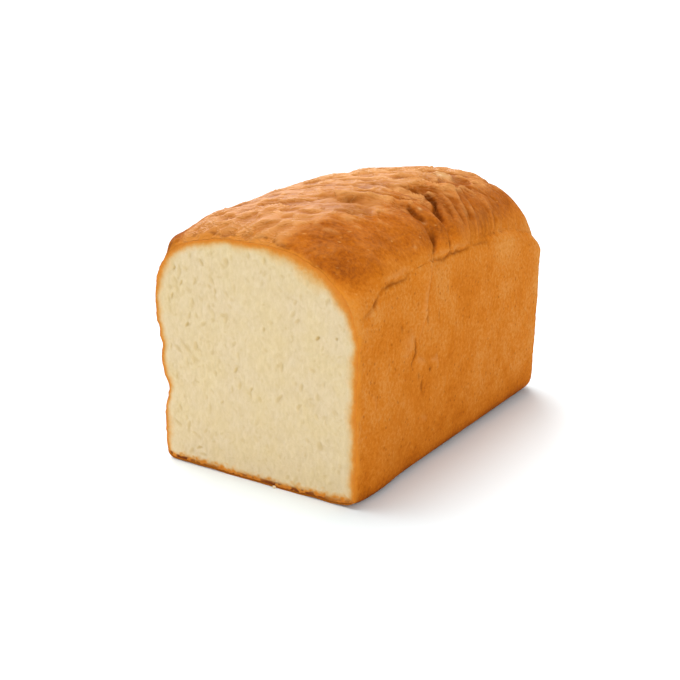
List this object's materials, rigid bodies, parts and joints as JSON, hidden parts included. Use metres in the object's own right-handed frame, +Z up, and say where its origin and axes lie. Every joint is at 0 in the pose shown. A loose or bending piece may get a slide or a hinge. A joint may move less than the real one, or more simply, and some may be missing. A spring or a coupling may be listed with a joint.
{
  "type": "tin loaf",
  "caption": "White tin loaf of bread with a domed golden crust and a square cut end that shows its pale crumb.",
  "frame": {"origin": "middle of the flat base, under the centre of the loaf's bounding box", "axes": "+X to the right seen from the cut end, +Y from the cut end to the baked end, along the loaf, +Z up"},
  "size_m": [0.1192, 0.1988, 0.1336],
  "materials": {
    "crust": "golden brown baked crust, half matt with a faint salmon sheen on the dome",
    "crumb": "pale cream open crumb on the cut end, quite matt"
  },
  "bodies": {
    "root": {"loaf": "crust"}
  },
  "joints": []
}
